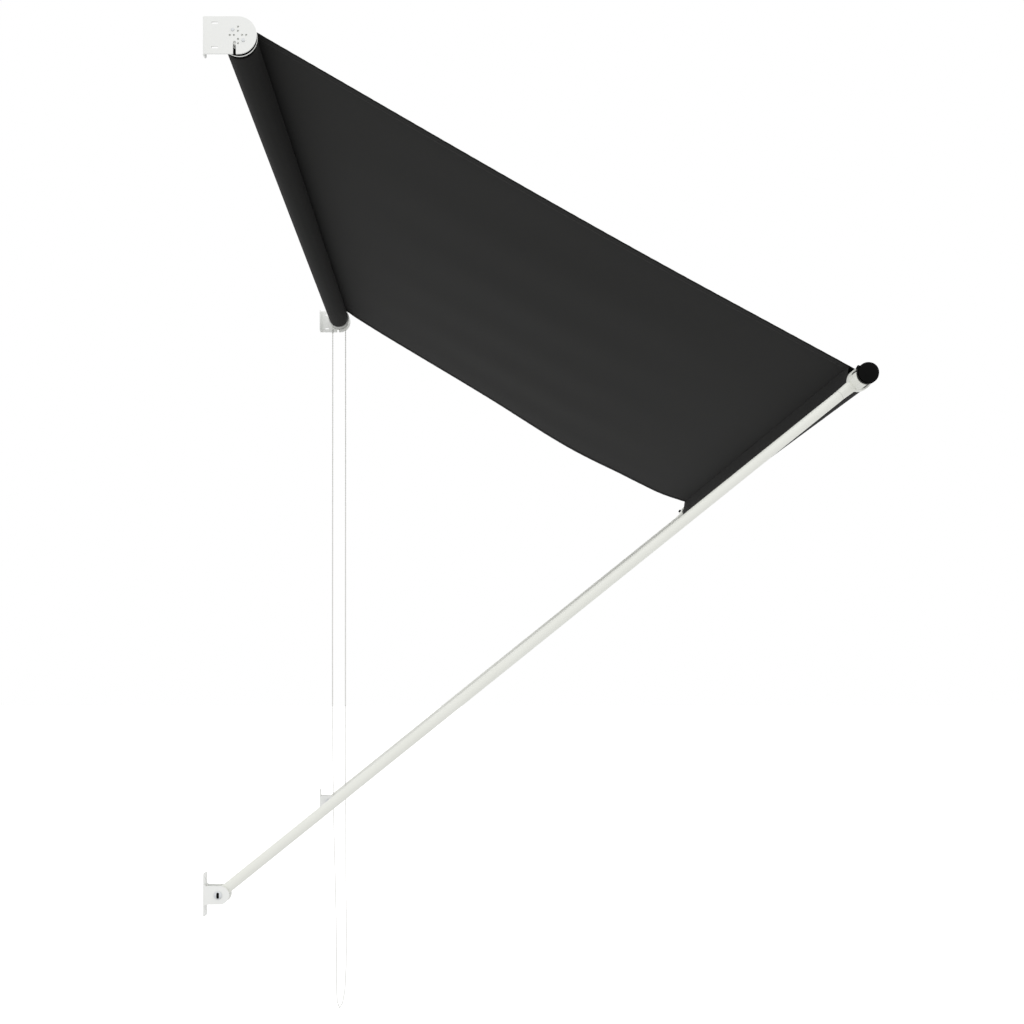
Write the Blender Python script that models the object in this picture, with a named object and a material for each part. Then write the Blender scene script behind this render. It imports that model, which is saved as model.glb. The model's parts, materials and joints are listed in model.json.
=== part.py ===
"""Drop-arm window awning with a chain-driven roller, shown fully open.

X runs along the width, the wall is the plane Y = 0 and the awning reaches out towards -Y.
The origin is the middle of the left roller bracket's back face, level with the roller's axis.
Lengths are in metres. "Inset" is measured from a bracket's outer face towards the middle.
"""

from math import acos, asin, atan2, ceil, cos, hypot, pi, radians, sin

import bmesh
import bpy
from mathutils import Matrix, Vector

# Whole awning
WIDTH = 2.000                     # between the outer faces of the two roller brackets
LEFT_FACE = -0.012                # outer face of the left bracket
RIGHT_FACE = LEFT_FACE + WIDTH
GAP = 0.0003                      # left between pieces that touch
OVERCUT = 0.002                   # how far a cutter runs past the face it cuts
SHEET = 0.003                     # thickness of the bracket steel
BEND = 0.0015                     # inside radius of its bends
LARGE_ROUND = 30                  # sides of a large turned shape
MEDIUM_ROUND = 20
SMALL_ROUND = 14
TINY_ROUND = 8
SMOOTH_BELOW = radians(32)        # faces that meet at less than this are shaded as one

# Roller and its brackets
AXIS_OUT = 0.071                  # roller axis from the wall
BRACKET_HALF = 0.0374             # half height, and the radius of the round end
FLANGE = 0.026                    # width of the wall flange
FLANGE_CORNER = 0.009
WALL_HOLE_RADIUS = 0.0028
WALL_HOLE_HEIGHT = 0.022
PATTERN_HOLE_RADIUS = 0.0023
PATTERN_RADII = (0.0082, 0.0164)  # two rings of four holes
SCREW_RING = 0.0150               # the two screws, on the diagonal
SCREW_RADIUS = 0.0019
SCREW_HEAD_RADIUS = 0.0032
SCREW_HEAD_HEIGHT = 0.0019
SCREW_END = 0.0068
SCREW_SOCKET_RADIUS = 0.0022
SLOT_LENGTH = 0.014               # see-through slots beside the wall
SLOT_WIDTH = 0.0045
SLOT_OUT = 0.0245
SLOT_HEIGHT = 0.0245
DROP_SLOT_WIDTH = 0.006           # open slot up from the lower edge
DROP_SLOT_SHIFT = 0.0072
DROP_SLOT_TOP = -0.0115
TUBE_RADIUS = 0.0270
TUBE_WALL = 0.0012
HUB_RADIUS = 0.0195               # disc of the idle hub
HUB_THICK = 0.004
IDLE_SHAFT_RADIUS = 0.005
IDLE_SHAFT_END = 0.046
FLANGE_RADIUS = 0.0370            # roller plug flange
PLUG_RADIUS = 0.0255
LEFT_PLUG_END = 0.050
RIGHT_PLUG_END = 0.085
ROLL_RADIUS = 0.0330              # cloth left on the roller when open
CLOTH_LEFT = 0.031                # inset of the cloth's left edge
CLOTH_RIGHT = 0.055               # inset of its right edge, past the chain wheel
LEFT_FLANGE_INSET = 0.012
RIGHT_FLANGE_INSET = 0.048
FLANGE_THICK = 0.003
CHAMFER = 0.0006

# Chain drive, at the right bracket
CHAIN_INSET = 0.0355
CHAIN_RADIUS = 0.00225
WHEEL_PITCH_RADIUS = 0.0229       # 24 beads, 6 mm apart
GUARD_RADIUS = 0.0350
GUARD_WALL = 0.002
GUARD_BACK = 0.0225
GUARD_RIM = 0.0455
GUARD_OPENING_HALF = 0.031        # chain opening in the underside
GUARD_OPENING_TOP = -0.010
GUARD_OPENING_BOTTOM = -0.040
CLUTCH_RADIUS = 0.024
CLUTCH_SOCKET_END = 0.011
CORE_RADIUS = 0.0085
CORE_END = 0.040
STUB_RADIUS = 0.007
STUB_END = 0.078
WHEEL_GROOVE_HALF = 0.0030
WHEEL_SIDE = 0.0025
WHEEL_RIM_HEIGHT = 0.0017         # past the beads' pitch circle
WHEEL_SLEEVE_RADIUS = 0.011
WHEEL_SLEEVE_END = 0.075
SPRING_WIRE = 0.0005
SPRING_TURNS = 5
SPRING_START = 0.0445
SPRING_PITCH = 0.0042
CONNECTOR_RADIUS = 0.0033
CONNECTOR_TOP = -0.0375
CONNECTOR_LENGTH = 0.013
CONNECTOR_END_RADIUS = 0.0022
CONNECTOR_TAPER = 0.0025
CHAIN_STEP = 0.2
WHEEL_ARC_STEPS = 12

# Arms
PIVOT_OUT = 0.031
PIVOT_DROP = 1.721
ARM_LENGTH = 1.652                # pivot to front bar axis
OPEN_ANGLE = radians(51.2)        # from the vertical
ARM_INSET = 0.016                 # middle plane of the arm
ARM_RADIUS = 0.0106
ARM_WALL = 0.0015
CLEVIS_WIDTH = 0.032
CLEVIS_EAR = 0.0185               # half height of an ear
CLEVIS_ROUND_OUT = 0.0345         # centre of an ear's round end, from the wall
CLEVIS_PLATE = 0.0435             # half height of the wall plate
CLEVIS_CORNER = 0.006
CLEVIS_NOTCH = 0.004
CLEVIS_HOLE_HEIGHT = 0.030
EYE_RADIUS = 0.013
EYE_WIDTH = 0.0200
BOLT_RADIUS = 0.004
BOLT_HEAD_RADIUS = 0.0085
BOLT_HEAD_HEIGHT = 0.0036
BOLT_SLOT_WIDTH = 0.0054          # upright recess in the head
BOLT_SLOT_LENGTH = 0.0124
BOLT_SLOT_FLOOR = 0.0016          # its floor, from the ear's face
BOLT_PAST_EAR = 0.0095
NUT_FLATS = 0.013
NUT_HEIGHT = 0.0065
SPACER_RADIUS = 0.0105
SOCKET_RADIUS = 0.0089            # spigots that fill the arm tube
KNUCKLE_SPIGOT_START = 0.006
KNUCKLE_SPIGOT_END = 0.060
HEAD_SPIGOT = 0.095               # these three are measured down from the bar's axis
HEAD_COLLAR_LOW = 0.050
HEAD_COLLAR_HIGH = 0.0215
HEAD_RING_RADIUS = 0.0226
HEAD_WIDTH = 0.021
HEAD_COLLAR_RADIUS = 0.0122       # the tube's end widens to this
SADDLE_HALF_ANGLE = radians(48)   # the part of the ring that runs on outwards under the bar
SADDLE_REACH = 0.050              # its outer end, from the arm's middle plane
SADDLE_STEPS = 12
SADDLE_CORE = 0.7                 # its inner radius before the bore, against the bar's
RIVET_RADIUS = 0.0016
RIVET_HEAD_RADIUS = 0.0031
RIVET_HEAD_HEIGHT = 0.0011
RIVET_DEPTH = 0.0045              # its inner end, from the arm's middle line
RIVET_LOW = 0.036
RIVET_FROM_TOP = 0.012            # of the arm tube

# Front bar
BAR_RADIUS = 0.0190
BAR_WALL = 0.0015
BAR_OVERHANG = 0.045              # past the bracket's outer face
CAP_RADIUS = 0.0196
CAP_PLUG = 0.015
CAP_THICK = 0.0032
CAP_FACE_RADIUS = 0.010
CAP_EDGE = 0.0012
RING_CLEARANCE = 0.0005
COLLAR_RADIUS = 0.0212
COLLAR_WIDTH = 0.0070
BOSS_RADIUS = 0.0250
BOSS_HALF = 0.0045
BOSS_ANGLE = radians(29)          # up and towards the wall
BOSS_TAPER = 0.8
SET_SCREW_RADIUS = 0.0016
SET_SCREW_DEPTH = 0.0005          # below the boss
SLEEVE_INNER = BAR_RADIUS + GAP
SLEEVE_OUTER = 0.0218
HEM = 0.045                       # from the bar axis back to the hem seam
HEM_THICK = 0.0016
CLOTH_THICK = 0.002
SAG_LEFT = 0.006
SAG_RIGHT = 0.024
CLOTH_ROWS = 16
CLOTH_COLUMNS = 4
CLOTH_START = 0.002               # of the free run, past the line where it leaves the roll

# Places that follow from the dimensions
ROLLER_AXIS = Vector((0, -AXIS_OUT, 0))
PIVOT_Y = -PIVOT_OUT
PIVOT_Z = -PIVOT_DROP
BAR_AXIS = Vector((0, PIVOT_Y - ARM_LENGTH * sin(OPEN_ANGLE), PIVOT_Z + ARM_LENGTH * cos(OPEN_ANGLE)))
CLOTH_LOW_X = LEFT_FACE + CLOTH_LEFT
CLOTH_HIGH_X = RIGHT_FACE - CLOTH_RIGHT

# The chain hangs in a narrow loop: outward offset from the roller axis, and height.
CHAIN_BACK = [
    (-0.0229, -0.0509), (-0.0229, -0.12), (-0.0231, -0.35), (-0.0233, -0.70), (-0.0236, -1.05),
    (-0.0236, -1.36), (-0.0220, -1.62), (-0.0184, -1.84), (-0.0142, -1.99), (-0.0112, -2.12),
    (-0.0095, -2.26), (-0.0092, -2.38), (-0.0072, -2.435),
]
CHAIN_BOTTOM = [(0.0015, -2.4600), (0.0125, -2.441)]
CHAIN_FRONT = [
    (0.0205, -2.395), (0.0250, -2.31), (0.0258, -2.18), (0.0240, -2.00), (0.0236, -1.80),
    (0.0221, -1.58), (0.0224, -1.36), (0.0226, -1.05), (0.0228, -0.70), (0.0229, -0.35),
    (0.0229, -0.12), (0.0229, -0.02),
]


def clear_scene():
    for obj in list(bpy.data.objects):
        bpy.data.objects.remove(obj)


def linear(channel):
    return channel / 12.92 if channel <= 0.04045 else ((channel + 0.055) / 1.055) ** 2.4


def material(name, colour, roughness, metallic=0.0):
    made = bpy.data.materials.new(name)
    made.use_nodes = True
    shader = made.node_tree.nodes["Principled BSDF"]
    rgb = [linear(int(colour[i : i + 2], 16) / 255) for i in (0, 2, 4)]
    shader.inputs["Base Color"].default_value = (*rgb, 1)
    shader.inputs["Roughness"].default_value = roughness
    shader.inputs["Metallic"].default_value = metallic
    made.diffuse_color = (*rgb, 1)
    return made


def empty(name, location, tilt=0.0):
    made = bpy.data.objects.new(name, None)
    made.location = location
    made.rotation_euler = (tilt, 0, 0)
    bpy.context.scene.collection.objects.link(made)
    return made


def add(name, bm, finish, parent=None):
    """Makes an object of a mesh that is already in its parent's frame."""
    bmesh.ops.recalc_face_normals(bm, faces=bm.faces)
    if bm.calc_volume(signed=True) < 0:
        bmesh.ops.reverse_faces(bm, faces=bm.faces)
    mesh = bpy.data.meshes.new(name)
    bm.to_mesh(mesh)
    bm.free()
    mesh.shade_smooth()
    mesh.set_sharp_from_angle(angle=SMOOTH_BELOW)
    made = bpy.data.objects.new(name, mesh)
    made.parent = parent
    if finish:
        mesh.materials.append(finish)
    bpy.context.scene.collection.objects.link(made)
    return made


def shape_with(obj, bm, operation):
    """Cuts, joins or trims obj with the mesh bm, kept as a hidden helper."""
    helper = add(f"{obj.name}_{operation.lower()}_{len(obj.modifiers)}", bm, None, obj.parent)
    helper.hide_render = True
    helper.display_type = "WIRE"
    boolean = obj.modifiers.new(operation.title(), "BOOLEAN")
    boolean.operation = operation
    boolean.solver = "EXACT"
    boolean.object = helper


def arc(centre, radius, start, end, steps):
    """Points on a circle, start and end included, angles in radians."""
    turns = [start + (end - start) * i / steps for i in range(steps + 1)]
    return [(centre[0] + radius * cos(t), centre[1] + radius * sin(t)) for t in turns]


def prism(bm, outline, along, low, high):
    """Extrudes an outline along an axis. It is given in (Y, Z), (X, Z) or (X, Y)."""
    place = {
        "X": lambda a, b: (low, a, b),
        "Y": lambda a, b: (a, low, b),
        "Z": lambda a, b: (a, b, low),
    }[along]
    face = bm.faces.new([bm.verts.new(place(a, b)) for a, b in outline])
    grown = bmesh.ops.extrude_face_region(bm, geom=[face])["geom"]
    moved = [v for v in grown if isinstance(v, bmesh.types.BMVert)]
    step = Vector((along == "X", along == "Y", along == "Z")) * (high - low)
    bmesh.ops.translate(bm, verts=moved, vec=step)


def turned(bm, profile, segments, centre=(0, 0)):
    """Turns a closed outline of (x, radius) points about a line along X through (y, z)."""
    points = [bm.verts.new((x, centre[0], centre[1] + radius)) for x, radius in profile]
    edges = [bm.edges.new((points[i - 1], points[i])) for i in range(len(points))]
    on_axis = [i for i, (_, radius) in enumerate(profile) if radius == 0]
    if len(on_axis) == 2:
        bm.edges.remove(bm.edges.get([points[i] for i in on_axis]))
        edges = [e for e in edges if e.is_valid]
    bmesh.ops.spin(
        bm, geom=points + edges, cent=(0, *centre), axis=(1, 0, 0), dvec=(0, 0, 0),
        angle=2 * pi, steps=segments, use_merge=True, use_duplicate=False,
    )
    bmesh.ops.remove_doubles(bm, verts=bm.verts, dist=1e-6)


def rod(bm, low, high, radius, segments, centre=(0, 0)):
    turned(bm, [(low, 0), (low, radius), (high, radius), (high, 0)], segments, centre)


def mirrored(bm, side):
    """Moves a mesh built by inset to its side of the awning."""
    if side == "left":
        bm.transform(Matrix.Translation((LEFT_FACE, 0, 0)))
    else:
        bm.transform(Matrix.Translation((RIGHT_FACE, 0, 0)) @ Matrix.Scale(-1, 4, (1, 0, 0)))
    return bm


def corner_cutter(bm, along, low, high, corner, size, signs):
    """Rounds one outer corner: signs point from the corner out of the sheet."""
    a, b = corner
    sa, sb = signs
    centre = (a - sa * size, b - sb * size)
    swept = arc((0, 0), size, 0, pi / 2, 4)
    outline = [(centre[0] + sa * p, centre[1] + sb * q) for p, q in swept]
    outline += [(centre[0], b + sb * OVERCUT), (a + sa * OVERCUT, b + sb * OVERCUT)]
    outline += [(a + sa * OVERCUT, centre[1])]
    prism(bm, outline, along, low, high)


def make_roller_bracket(side, finish):
    outer = SHEET + BEND
    reach = AXIS_OUT + BRACKET_HALF + OVERCUT
    section = [(0, -reach)] + arc((outer, -outer), outer, pi, pi / 2, 4)
    section += [(FLANGE, 0), (FLANGE, -SHEET)]
    section += arc((outer, -outer), BEND, pi / 2, pi, 3) + [(SHEET, -reach)]
    bm = bmesh.new()
    prism(bm, section, "Z", -BRACKET_HALF - OVERCUT, BRACKET_HALF + OVERCUT)
    bracket = add(f"roller_bracket_{side}", mirrored(bm, side), finish)

    trim = bmesh.new()
    outline = [(OVERCUT, BRACKET_HALF)]
    outline += arc((-AXIS_OUT, 0), BRACKET_HALF, pi / 2, 3 * pi / 2, 20)
    outline += [(OVERCUT, -BRACKET_HALF)]
    prism(trim, outline, "X", -OVERCUT, FLANGE + OVERCUT)
    shape_with(bracket, mirrored(trim, side), "INTERSECT")

    holes = bmesh.new()
    for sign in (1, -1):
        corner = (FLANGE, sign * BRACKET_HALF)
        corner_cutter(holes, "Y", -SHEET - OVERCUT, OVERCUT, corner, FLANGE_CORNER, (1, sign))
        centre = (0.5 * (FLANGE + outer), sign * WALL_HOLE_HEIGHT)
        wall_hole = arc(centre, WALL_HOLE_RADIUS, 0, 2 * pi, SMALL_ROUND)[:-1]
        prism(holes, wall_hole, "Y", -SHEET - OVERCUT, OVERCUT)
        half = (SLOT_LENGTH - SLOT_WIDTH) / 2
        height = sign * SLOT_HEIGHT
        slot = arc((-SLOT_OUT + half, height), SLOT_WIDTH / 2, -pi / 2, pi / 2, 4)
        slot += arc((-SLOT_OUT - half, height), SLOT_WIDTH / 2, pi / 2, 3 * pi / 2, 4)
        prism(holes, slot, "X", -OVERCUT, SHEET + OVERCUT)
    for centre in hole_pattern() + screw_places():
        hole = arc(centre, PATTERN_HOLE_RADIUS, 0, 2 * pi, TINY_ROUND)[:-1]
        prism(holes, hole, "X", -OVERCUT, SHEET + OVERCUT)
    middle = -AXIS_OUT + DROP_SLOT_SHIFT
    half = DROP_SLOT_WIDTH / 2
    drop = arc((middle, DROP_SLOT_TOP - half), half, 0, pi, 4)
    drop += [(middle - half, -BRACKET_HALF - OVERCUT), (middle + half, -BRACKET_HALF - OVERCUT)]
    prism(holes, drop, "X", -OVERCUT, SHEET + OVERCUT)
    shape_with(bracket, mirrored(holes, side), "DIFFERENCE")


def hole_pattern():
    """Centres of the eight holes round the roller axis."""
    places = []
    for radius in PATTERN_RADII:
        for quarter in range(4):
            turn = quarter * pi / 2
            places.append((-AXIS_OUT + radius * cos(turn), radius * sin(turn)))
    return places


def screw_places():
    reach = SCREW_RING * sin(pi / 4)
    return [(-AXIS_OUT + reach, reach), (-AXIS_OUT - reach, -reach)]


def make_bracket_screws(side, finish):
    for number, centre in enumerate(screw_places(), 1):
        bm = bmesh.new()
        crown = -SCREW_HEAD_HEIGHT
        profile = [(crown, 0), (crown, SCREW_HEAD_RADIUS - CHAMFER), (crown + CHAMFER, SCREW_HEAD_RADIUS)]
        profile += [(-GAP, SCREW_HEAD_RADIUS), (-GAP, SCREW_RADIUS), (SCREW_END, SCREW_RADIUS)]
        turned(bm, profile + [(SCREW_END, 0)], SMALL_ROUND, centre)
        add(f"bracket_screw_{side}_{number}", mirrored(bm, side), finish)


def screw_sockets(depth):
    bm = bmesh.new()
    for centre in screw_places():
        rod(bm, GAP, depth, SCREW_SOCKET_RADIUS, TINY_ROUND, centre)
    return bm


def make_idle_hub(finish):
    base = SHEET + GAP
    face = base + HUB_THICK
    end = IDLE_SHAFT_END
    bm = bmesh.new()
    profile = [(base, 0), (base, HUB_RADIUS), (face - CHAMFER, HUB_RADIUS), (face, HUB_RADIUS - CHAMFER)]
    profile += [(face, IDLE_SHAFT_RADIUS), (end - CHAMFER, IDLE_SHAFT_RADIUS)]
    profile += [(end, IDLE_SHAFT_RADIUS - CHAMFER), (end, 0)]
    turned(bm, profile, MEDIUM_ROUND, (-AXIS_OUT, 0))
    hub = add("idle_hub", mirrored(bm, "left"), finish)
    shape_with(hub, mirrored(screw_sockets(face + OVERCUT), "left"), "DIFFERENCE")


def make_clutch_housing(finish):
    base = SHEET + GAP
    back = GUARD_BACK
    floor = back + GUARD_WALL
    rim = GUARD_RIM
    inner = GUARD_RADIUS - GUARD_WALL
    bm = bmesh.new()
    profile = [(base, 0), (base, CLUTCH_RADIUS), (back, CLUTCH_RADIUS), (back, GUARD_RADIUS - CHAMFER)]
    profile += [(back + CHAMFER, GUARD_RADIUS), (rim, GUARD_RADIUS), (rim, inner)]
    profile += [(floor, inner), (floor, CORE_RADIUS), (CORE_END, CORE_RADIUS)]
    profile += [(CORE_END, STUB_RADIUS), (STUB_END, STUB_RADIUS), (STUB_END, 0)]
    turned(bm, profile, LARGE_ROUND, (-AXIS_OUT, 0))
    housing = add("clutch_housing", mirrored(bm, "right"), finish)
    opening = bmesh.new()
    front = -AXIS_OUT - GUARD_OPENING_HALF
    rear = -AXIS_OUT + GUARD_OPENING_HALF
    outline = [(front, GUARD_OPENING_TOP), (rear, GUARD_OPENING_TOP)]
    outline += [(rear, GUARD_OPENING_BOTTOM), (front, GUARD_OPENING_BOTTOM)]
    prism(opening, outline, "X", floor + GAP, rim + OVERCUT)
    shape_with(housing, mirrored(opening, "right"), "DIFFERENCE")
    shape_with(housing, mirrored(screw_sockets(CLUTCH_SOCKET_END), "right"), "DIFFERENCE")


def make_brake_spring(finish):
    """A wrap spring round the fixed stub, as one closed coil of round wire."""
    steps = 12
    radius = STUB_RADIUS + 2 * GAP + SPRING_WIRE
    path = bpy.data.curves.new("brake_spring", "CURVE")
    path.dimensions = "3D"
    path.bevel_depth = SPRING_WIRE
    path.bevel_resolution = 0
    path.use_fill_caps = True
    line = path.splines.new("POLY")
    count = SPRING_TURNS * steps + 1
    line.points.add(count - 1)
    for i in range(count):
        turn = 2 * pi * i / steps
        x = RIGHT_FACE - (SPRING_START + SPRING_PITCH * i / steps)
        line.points[i].co = (x, -AXIS_OUT + radius * cos(turn), radius * sin(turn), 1)
    spring = bpy.data.objects.new("brake_spring", path)
    path.materials.append(finish)
    bpy.context.scene.collection.objects.link(spring)


def make_roller(finishes, parent):
    tube = bmesh.new()
    inner = TUBE_RADIUS - TUBE_WALL
    low = LEFT_FACE + LEFT_FLANGE_INSET + FLANGE_THICK + GAP
    high = RIGHT_FACE - RIGHT_FLANGE_INSET - FLANGE_THICK - GAP
    turned(tube, [(low, inner), (low, TUBE_RADIUS), (high, TUBE_RADIUS), (high, inner)], LARGE_ROUND)
    add("roller_tube", tube, finishes["tube"], parent)

    roll = bmesh.new()
    core = TUBE_RADIUS + GAP
    profile = [(CLOTH_LOW_X, core), (CLOTH_LOW_X, ROLL_RADIUS)]
    profile += [(CLOTH_HIGH_X, ROLL_RADIUS), (CLOTH_HIGH_X, core)]
    turned(roll, profile, LARGE_ROUND)
    add("cloth_roll", roll, finishes["cloth"], parent)

    bore = IDLE_SHAFT_RADIUS + GAP
    profile = flange_profile(LEFT_FLANGE_INSET, bore)
    profile += [(LEFT_PLUG_END, PLUG_RADIUS), (LEFT_PLUG_END, bore)]
    add("roller_plug_left", fitting(profile, "left"), finishes["plug"], parent)

    wide = WHEEL_SLEEVE_RADIUS + GAP
    bore = STUB_RADIUS + GAP
    step = WHEEL_SLEEVE_END + GAP
    profile = flange_profile(RIGHT_FLANGE_INSET, wide)
    profile += [(RIGHT_PLUG_END, PLUG_RADIUS), (RIGHT_PLUG_END, bore), (step, bore), (step, wide)]
    add("roller_plug_right", fitting(profile, "right"), finishes["plug"], parent)

    groove = WHEEL_PITCH_RADIUS - CHAIN_RADIUS - GAP
    rim = WHEEL_PITCH_RADIUS + WHEEL_RIM_HEIGHT
    low = CHAIN_INSET - WHEEL_GROOVE_HALF
    high = CHAIN_INSET + WHEEL_GROOVE_HALF
    bore = CORE_RADIUS + GAP
    profile = [(low - WHEEL_SIDE, bore), (low - WHEEL_SIDE, rim), (low, rim), (low, groove)]
    profile += [(high, groove), (high, rim), (high + WHEEL_SIDE, rim)]
    profile += [(high + WHEEL_SIDE, WHEEL_SLEEVE_RADIUS), (WHEEL_SLEEVE_END, WHEEL_SLEEVE_RADIUS)]
    profile += [(WHEEL_SLEEVE_END, bore)]
    add("chain_wheel", fitting(profile, "right"), finishes["wheel"], parent)


def flange_profile(start, bore):
    """The flange that keeps the cloth from running off the roller's end."""
    end = start + FLANGE_THICK
    profile = [(start, bore), (start, FLANGE_RADIUS - CHAMFER), (start + CHAMFER, FLANGE_RADIUS)]
    return profile + [(end, FLANGE_RADIUS), (end, PLUG_RADIUS)]


def fitting(profile, side):
    """A turned piece of the roller, built by inset and moved to the roller's frame."""
    bm = bmesh.new()
    turned(bm, profile, LARGE_ROUND, (-AXIS_OUT, 0))
    bm = mirrored(bm, side)
    bm.transform(Matrix.Translation(-ROLLER_AXIS))
    return bm


def smooth_route(route, step):
    """Points about a step apart on a Catmull-Rom curve through the route."""
    points = [Vector(p) for p in route]
    points = [2 * points[0] - points[1]] + points + [2 * points[-1] - points[-2]]
    out = []
    for a, b, c, d in zip(points, points[1:], points[2:], points[3:]):
        count = max(1, ceil((c - b).length / step))
        for i in range(count):
            t = i / count
            bend = 2 * a - 5 * b + 4 * c - d
            twist = 3 * b - a - 3 * c + d
            out.append(0.5 * (2 * b + (c - a) * t + bend * t * t + twist * t ** 3))
    return out + [points[-2]]


def chain_route():
    """The endless chain from its connector down, round the loop, up and over the wheel."""
    over = arc((0, 0), WHEEL_PITCH_RADIUS, 0, pi, WHEEL_ARC_STEPS)
    down = [(-WHEEL_PITCH_RADIUS, CONNECTOR_TOP + GAP)]
    flat = CHAIN_BACK + CHAIN_BOTTOM + CHAIN_FRONT + over + down
    x = RIGHT_FACE - CHAIN_INSET
    return [(x, -AXIS_OUT - out, height) for out, height in flat]


def make_chain(finish, connector_finish):
    path = bpy.data.curves.new("chain", "CURVE")
    path.dimensions = "3D"
    path.bevel_depth = CHAIN_RADIUS
    path.bevel_resolution = 2
    path.use_fill_caps = True
    points = smooth_route(chain_route(), CHAIN_STEP)
    line = path.splines.new("POLY")
    line.points.add(len(points) - 1)
    for target, point in zip(line.points, points):
        target.co = (*point, 1)
    path.materials.append(finish)
    chain = bpy.data.objects.new("chain", path)
    bpy.context.scene.collection.objects.link(chain)

    bm = bmesh.new()
    half = CONNECTOR_LENGTH / 2
    shoulder = half - CONNECTOR_TAPER
    profile = [(-half, 0), (-half, CONNECTOR_END_RADIUS), (-shoulder, CONNECTOR_RADIUS)]
    profile += [(shoulder, CONNECTOR_RADIUS), (half, CONNECTOR_END_RADIUS), (half, 0)]
    turned(bm, profile, SMALL_ROUND)
    bm.transform(Matrix.Rotation(pi / 2, 4, "Y"))
    back = -AXIS_OUT + WHEEL_PITCH_RADIUS
    place = (RIGHT_FACE - CHAIN_INSET, back, CONNECTOR_TOP - half)
    bm.transform(Matrix.Translation(place))
    add("chain_connector", bm, connector_finish)


def make_arm_bracket(side, finish):
    outer = SHEET + BEND
    reach = CLEVIS_ROUND_OUT + CLEVIS_EAR + OVERCUT
    wide = CLEVIS_WIDTH
    section = [(0, -reach)] + arc((outer, -outer), outer, pi, pi / 2, 4)
    section += arc((wide - outer, -outer), outer, pi / 2, 0, 4) + [(wide, -reach)]
    section += [(wide - SHEET, -reach)] + arc((wide - outer, -outer), BEND, 0, pi / 2, 3)
    section += arc((outer, -outer), BEND, pi / 2, pi, 3) + [(SHEET, -reach)]
    bm = bmesh.new()
    prism(bm, section, "Z", PIVOT_Z - CLEVIS_PLATE - OVERCUT, PIVOT_Z + CLEVIS_PLATE + OVERCUT)
    bracket = add(f"arm_bracket_{side}", mirrored(bm, side), finish)

    trim = bmesh.new()
    notch = CLEVIS_NOTCH
    step = -SHEET - GAP
    outline = [(OVERCUT, CLEVIS_PLATE), (step, CLEVIS_PLATE)]
    outline += arc((step - notch, CLEVIS_EAR + notch), notch, 0, -pi / 2, 3)
    outline += arc((-CLEVIS_ROUND_OUT, 0), CLEVIS_EAR, pi / 2, 3 * pi / 2, 14)
    outline += arc((step - notch, -CLEVIS_EAR - notch), notch, pi / 2, 0, 3)
    outline += [(step, -CLEVIS_PLATE), (OVERCUT, -CLEVIS_PLATE)]
    outline = [(y, z + PIVOT_Z) for y, z in outline]
    prism(trim, outline, "X", -OVERCUT, wide + OVERCUT)
    shape_with(bracket, mirrored(trim, side), "INTERSECT")

    holes = bmesh.new()
    rod(holes, -OVERCUT, wide + OVERCUT, BOLT_RADIUS + GAP, SMALL_ROUND, (PIVOT_Y, PIVOT_Z))
    for sign in (1, -1):
        centre = (wide / 2, PIVOT_Z + sign * CLEVIS_HOLE_HEIGHT)
        wall_hole = arc(centre, WALL_HOLE_RADIUS, 0, 2 * pi, SMALL_ROUND)[:-1]
        prism(holes, wall_hole, "Y", -SHEET - OVERCUT, OVERCUT)
        for edge, out in ((wide, 1), (0, -1)):
            corner = (edge, PIVOT_Z + sign * CLEVIS_PLATE)
            low = -SHEET - OVERCUT
            corner_cutter(holes, "Y", low, OVERCUT, corner, CLEVIS_CORNER, (out, sign))
    shape_with(bracket, mirrored(holes, side), "DIFFERENCE")


def make_pivot(side, finishes):
    centre = (PIVOT_Y, PIVOT_Z)
    bolt = bmesh.new()
    turns = [i * pi / 8 for i in range(5)]
    dome = [(-GAP - BOLT_HEAD_HEIGHT * cos(t), BOLT_HEAD_RADIUS * sin(t)) for t in turns]
    end = CLEVIS_WIDTH + BOLT_PAST_EAR
    profile = dome + [(-GAP, BOLT_RADIUS), (end - CHAMFER, BOLT_RADIUS)]
    profile += [(end, BOLT_RADIUS - CHAMFER), (end, 0)]
    turned(bolt, profile, SMALL_ROUND, centre)
    bolt = add(f"pivot_bolt_{side}", mirrored(bolt, side), finishes["steel"])
    shape_with(bolt, mirrored(bolt_slot(centre), side), "DIFFERENCE")

    nut = bmesh.new()
    corner = NUT_FLATS / 2 / cos(pi / 6)
    outline = [(y + centre[0], z + centre[1]) for y, z in arc((0, 0), corner, 0, 2 * pi, 6)[:-1]]
    prism(nut, outline, "X", CLEVIS_WIDTH + GAP, CLEVIS_WIDTH + GAP + NUT_HEIGHT)
    nut = add(f"pivot_nut_{side}", mirrored(nut, side), finishes["steel"])
    bore = bmesh.new()
    rod(bore, 0, CLEVIS_WIDTH + 2 * NUT_HEIGHT, BOLT_RADIUS + GAP, SMALL_ROUND, centre)
    shape_with(nut, mirrored(bore, side), "DIFFERENCE")

    room = (CLEVIS_WIDTH - 2 * SHEET - EYE_WIDTH) / 2
    for number, start in enumerate((SHEET, CLEVIS_WIDTH - SHEET - room), 1):
        washer = bmesh.new()
        low = start + GAP
        high = start + room - GAP
        inner = BOLT_RADIUS + GAP
        profile = [(low, inner), (low, SPACER_RADIUS), (high, SPACER_RADIUS), (high, inner)]
        turned(washer, profile, SMALL_ROUND, centre)
        add(f"pivot_spacer_{side}_{number}", mirrored(washer, side), finishes["nylon"])


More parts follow.
